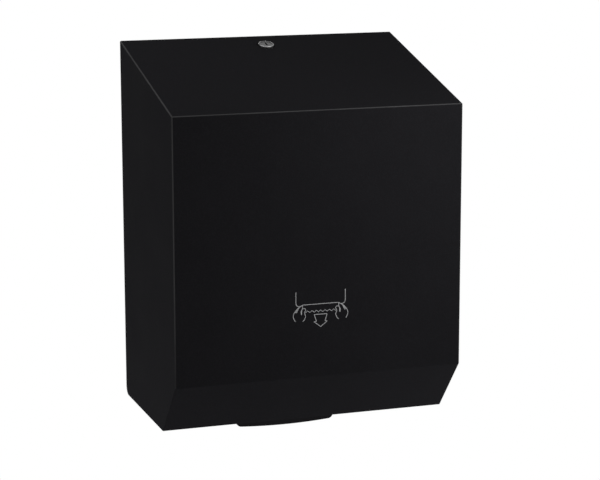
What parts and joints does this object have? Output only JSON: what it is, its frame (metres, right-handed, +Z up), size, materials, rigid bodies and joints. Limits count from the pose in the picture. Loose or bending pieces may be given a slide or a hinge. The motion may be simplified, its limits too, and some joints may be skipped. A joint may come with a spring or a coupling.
{
  "type": "roll towel dispenser",
  "caption": "Wall-mounted black steel roll towel dispenser with a sloping lockable top, drop-down cover, sprung roll arms and a drum that cuts each towel as it is pulled.",
  "frame": {"origin": "centre of the four wall screw holes, on the wall face", "axes": "+Z up, +Y into the wall, +X to the right of a person facing the front"},
  "size_m": [0.33, 0.22, 0.4425],
  "materials": {
    "black_powder": "matte black powder coat",
    "black_plastic": "moulded black plastic",
    "grey_plastic": "moulded grey plastic",
    "white_nylon": "natural nylon",
    "zinc_steel": "zinc-plated steel",
    "lock_metal": "satin nickel-plated lock",
    "black_rubber": "matte rubber",
    "blade_steel": "ground stainless steel",
    "spring_steel": "drawn spring wire"
  },
  "bodies": {
    "chassis": {"back_plate": "black_powder", "keeper": "zinc_steel", "keeper_rivets": "zinc_steel", "hinge_bushes": "white_nylon", "left_frame": "black_plastic", "right_frame": "black_plastic", "frame_screws": "zinc_steel", "cam_screws": "zinc_steel", "tie_rods": "zinc_steel", "tie_rod_screws": "zinc_steel", "right_drum_bush": "white_nylon", "one_way_bearing": "white_nylon", "cam_ring": "black_plastic", "front_guard": "black_plastic", "rear_guide": "black_plastic", "drive_housing": "black_plastic", "spring_post": "zinc_steel", "drive_spring": "spring_steel", "spring_eyes": "zinc_steel", "pinch_springs": "spring_steel", "arm_brackets": "zinc_steel", "arm_pins": "zinc_steel", "bracket_screws": "zinc_steel", "arm_springs": "spring_steel"},
    "cover": {"cover_shell": "black_powder", "hinge_brackets": "black_powder", "hinge_pins": "zinc_steel", "hinge_clips": "zinc_steel", "lock_barrel": "lock_metal", "lock_nut": "zinc_steel", "lock_washer": "zinc_steel"},
    "lock": {"lock_plug": "lock_metal", "lock_cam": "zinc_steel", "cam_screw": "zinc_steel"},
    "drum": {"drum_shaft": "zinc_steel", "drum_front_shell": "black_plastic", "drum_rear_shell": "black_plastic", "right_end_cap": "grey_plastic", "left_end_cap": "grey_plastic", "grip_bands": "black_rubber", "drum_screws": "zinc_steel", "crank_disc": "grey_plastic", "crank_pin": "zinc_steel", "shaft_screws": "zinc_steel", "feed_wheel": "grey_plastic"},
    "knife": {"knife_bar": "black_plastic", "knife_blade": "blade_steel", "blade_rivets": "zinc_steel", "follower_arm": "zinc_steel", "follower_roller": "white_nylon"},
    "pinch_carriage": {"left_pinch_bearing": "white_nylon", "right_pinch_bearing": "white_nylon"},
    "pinch_roller": {"pinch_shaft": "zinc_steel", "pinch_tyres": "black_rubber"},
    "left_swing_arm": {"left_arm": "black_plastic", "left_axle": "zinc_steel"},
    "right_swing_arm": {"right_arm": "black_plastic", "right_axle": "zinc_steel"},
    "left_spinner": {"left_hub": "grey_plastic"},
    "right_spinner": {"right_hub": "grey_plastic"}
  },
  "joints": [
    {"name": "cover_hinge", "type": "hinge", "parent": "chassis", "child": "cover", "pos_m": [0, -0.013, -0.27], "axis": [1, 0, 0], "range_deg": [0, 90]},
    {"name": "lock_turn", "type": "hinge", "parent": "cover", "child": "lock", "pos_m": [0, -0.0302, 0.1269], "axis": [0, -0.259, 0.9659], "range_deg": [0, 90]},
    {"name": "drum_spin", "type": "hinge", "parent": "chassis", "child": "drum", "pos_m": [0, -0.125, -0.185], "axis": [1, 0, 0], "continuous": true, "deforming": ["drive_spring", "spring_eyes"]},
    {"name": "knife_swing", "type": "hinge", "parent": "drum", "child": "knife", "pos_m": [0, -0.11448, -0.15121], "axis": [-1, 0, 0], "range_deg": [0, 20]},
    {"name": "pinch_slide", "type": "slide", "parent": "chassis", "child": "pinch_carriage", "axis": [0, 0.5736, 0.8192], "range_m": [0, 0.0025], "stiffness_N_per_m": 1500, "springref_m": -0.006, "deforming": ["pinch_springs"]},
    {"name": "pinch_spin", "type": "hinge", "parent": "pinch_carriage", "child": "pinch_roller", "pos_m": [0, -0.09206, -0.13796], "axis": [1, 0, 0], "continuous": true},
    {"name": "left_arm_swing", "type": "hinge", "parent": "chassis", "child": "left_swing_arm", "pos_m": [-0.111, -0.015, 0.003], "axis": [0, 0, -1], "range_deg": [0, 18], "stiffness_Nm_per_rad": 0.6, "springref_deg": -20.05, "deforming": ["arm_springs"]},
    {"name": "right_arm_swing", "type": "hinge", "parent": "chassis", "child": "right_swing_arm", "pos_m": [0.111, -0.015, 0.003], "axis": [0, 0, 1], "range_deg": [0, 18], "stiffness_Nm_per_rad": 0.6, "springref_deg": -20.05, "deforming": ["arm_springs"]},
    {"name": "left_hub_spin", "type": "hinge", "parent": "left_swing_arm", "child": "left_spinner", "pos_m": [-0.098, -0.112, 0.003], "axis": [1, 0, 0], "continuous": true},
    {"name": "right_hub_spin", "type": "hinge", "parent": "right_swing_arm", "child": "right_spinner", "pos_m": [0.098, -0.112, 0.003], "axis": [1, 0, 0], "continuous": true}
  ],
  "couplings": [
    {"joint": "pinch_spin", "follows": "drum_spin", "ratio": -3.7517}
  ]
}
